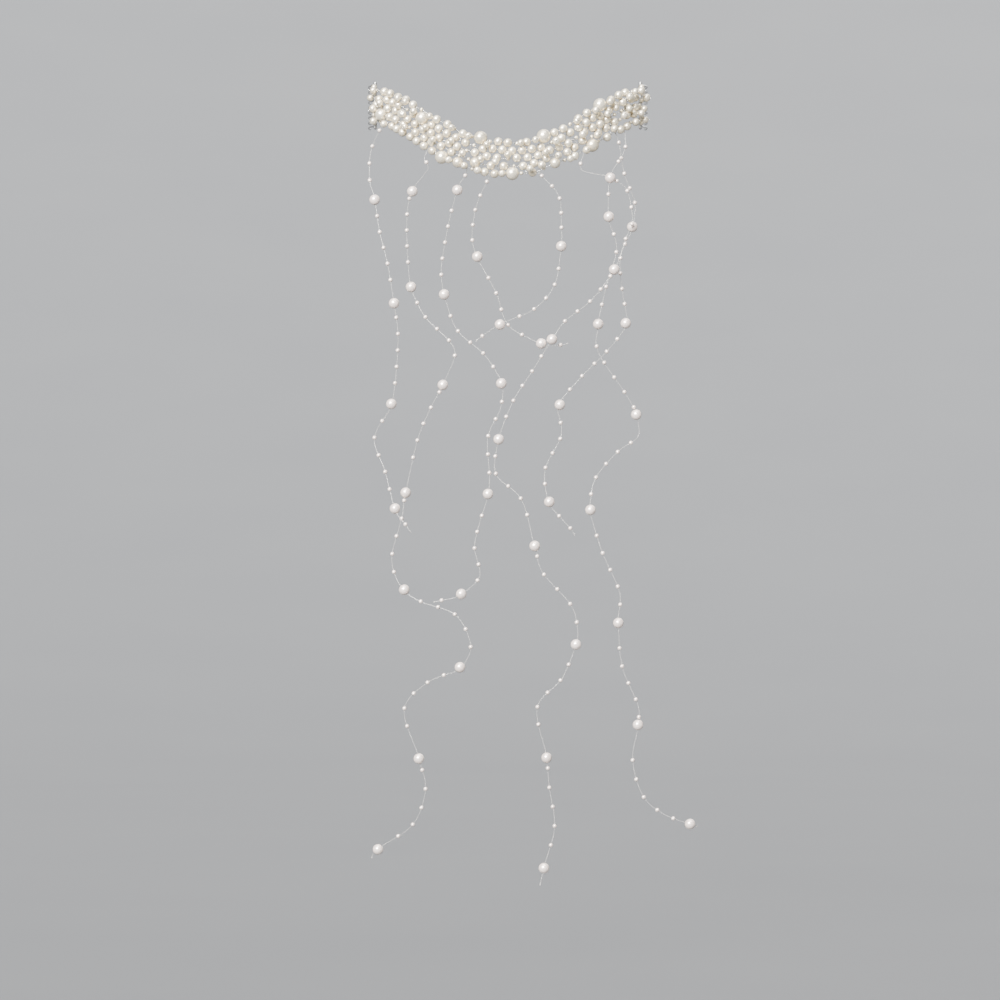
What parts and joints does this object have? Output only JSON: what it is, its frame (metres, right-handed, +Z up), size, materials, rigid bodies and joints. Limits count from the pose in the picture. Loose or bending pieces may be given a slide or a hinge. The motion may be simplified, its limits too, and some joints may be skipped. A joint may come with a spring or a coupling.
{
  "type": "bridal hair comb",
  "caption": "Curved garland of wired imitation pearls between two plain hair combs, with long loose pearl strands hanging below it.",
  "frame": {"origin": "on the seat on the head, behind the middle of the garland", "axes": "+Z up, +Y into the head and towards the face, +X to the right as seen from behind the head"},
  "size_m": [0.2515, 0.1001, 0.6084],
  "materials": {
    "pearl": "glossy nacre coating",
    "strand_pearl": "glossy nacre coating",
    "wire": "polished silver-coloured wire",
    "thread": "clear whitish nylon",
    "comb": "smooth silver-coloured metal"
  },
  "bodies": {
    "root": {"comb_left": "comb", "comb_right": "comb", "garland_wire_1": "wire", "garland_wire_2": "wire", "garland_wire_3": "wire", "garland_wire_4": "wire", "garland_wire_5": "wire", "garland_pearls_1": "pearl", "garland_pearls_2": "pearl", "garland_pearls_3": "pearl", "garland_pearls_4": "pearl", "garland_pearls_5": "pearl", "strand_a_thread": "thread", "strand_b_thread": "thread", "strand_c_thread": "thread", "strand_d_thread": "thread", "strand_e_thread": "thread", "strand_f_thread": "thread", "strand_g_thread": "thread", "strand_h_thread": "thread", "strand_a_pearls": "strand_pearl", "strand_b_pearls": "strand_pearl", "strand_c_pearls": "strand_pearl", "strand_d_pearls": "strand_pearl", "strand_e_pearls": "strand_pearl", "strand_f_pearls": "strand_pearl", "strand_g_pearls": "strand_pearl", "strand_h_pearls": "strand_pearl"}
  },
  "joints": []
}
